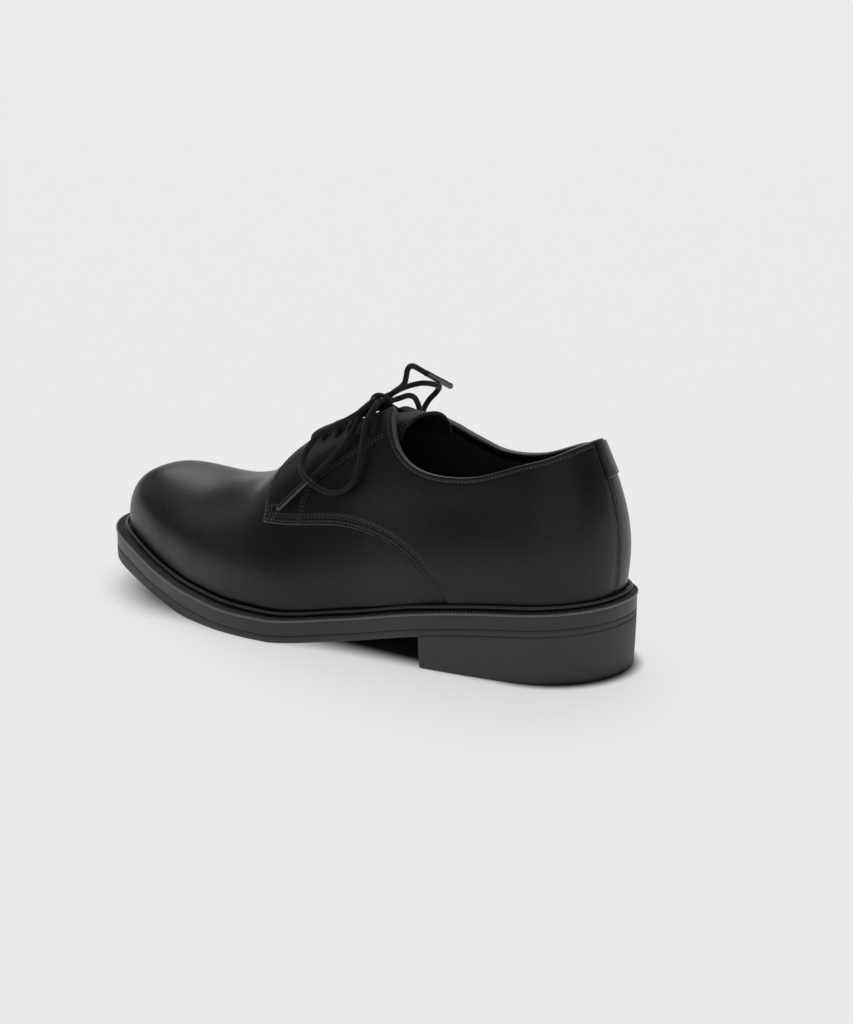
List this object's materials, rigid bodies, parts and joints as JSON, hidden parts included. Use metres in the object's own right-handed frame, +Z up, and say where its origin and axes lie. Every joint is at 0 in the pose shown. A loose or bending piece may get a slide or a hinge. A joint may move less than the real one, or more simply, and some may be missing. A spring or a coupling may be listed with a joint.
{
  "type": "derby shoe",
  "caption": "Plain-toe derby shoe for the left foot in smooth leather, open lacing over a tongue, moulded rubber sole with welt and low block heel.",
  "frame": {"origin": "on the floor, on the heel's flat underside below the middle of the heel", "axes": "+X to the outer side of the foot, -Y to the toe, +Z up"},
  "size_m": [0.1105, 0.3, 0.1249],
  "materials": {
    "smooth_leather": "smooth black leather with a soft polish",
    "lining_leather": "matt black lining leather",
    "sole_rubber": "matt black moulded rubber",
    "welt_rubber": "satin black moulded rubber",
    "lace_cotton": "round braided waxed cotton",
    "lace_tip": "gloss black film"
  },
  "bodies": {
    "root": {"outsole": "sole_rubber", "heel": "sole_rubber", "midsole_welt": "welt_rubber", "rand": "welt_rubber", "insole": "lining_leather", "upper": "smooth_leather", "quarter_outer": "smooth_leather", "quarter_inner": "smooth_leather", "heel_patch": "smooth_leather", "tongue": "smooth_leather", "lace_bar_1": "lace_cotton", "lace_bar_2": "lace_cotton", "lace_bar_3": "lace_cotton", "lace_bar_4": "lace_cotton", "knot": "lace_cotton", "loop_outer": "lace_cotton", "loop_inner": "lace_cotton", "end_outer": "lace_cotton", "end_inner": "lace_cotton", "aglet_outer": "lace_tip", "aglet_inner": "lace_tip"}
  },
  "joints": []
}
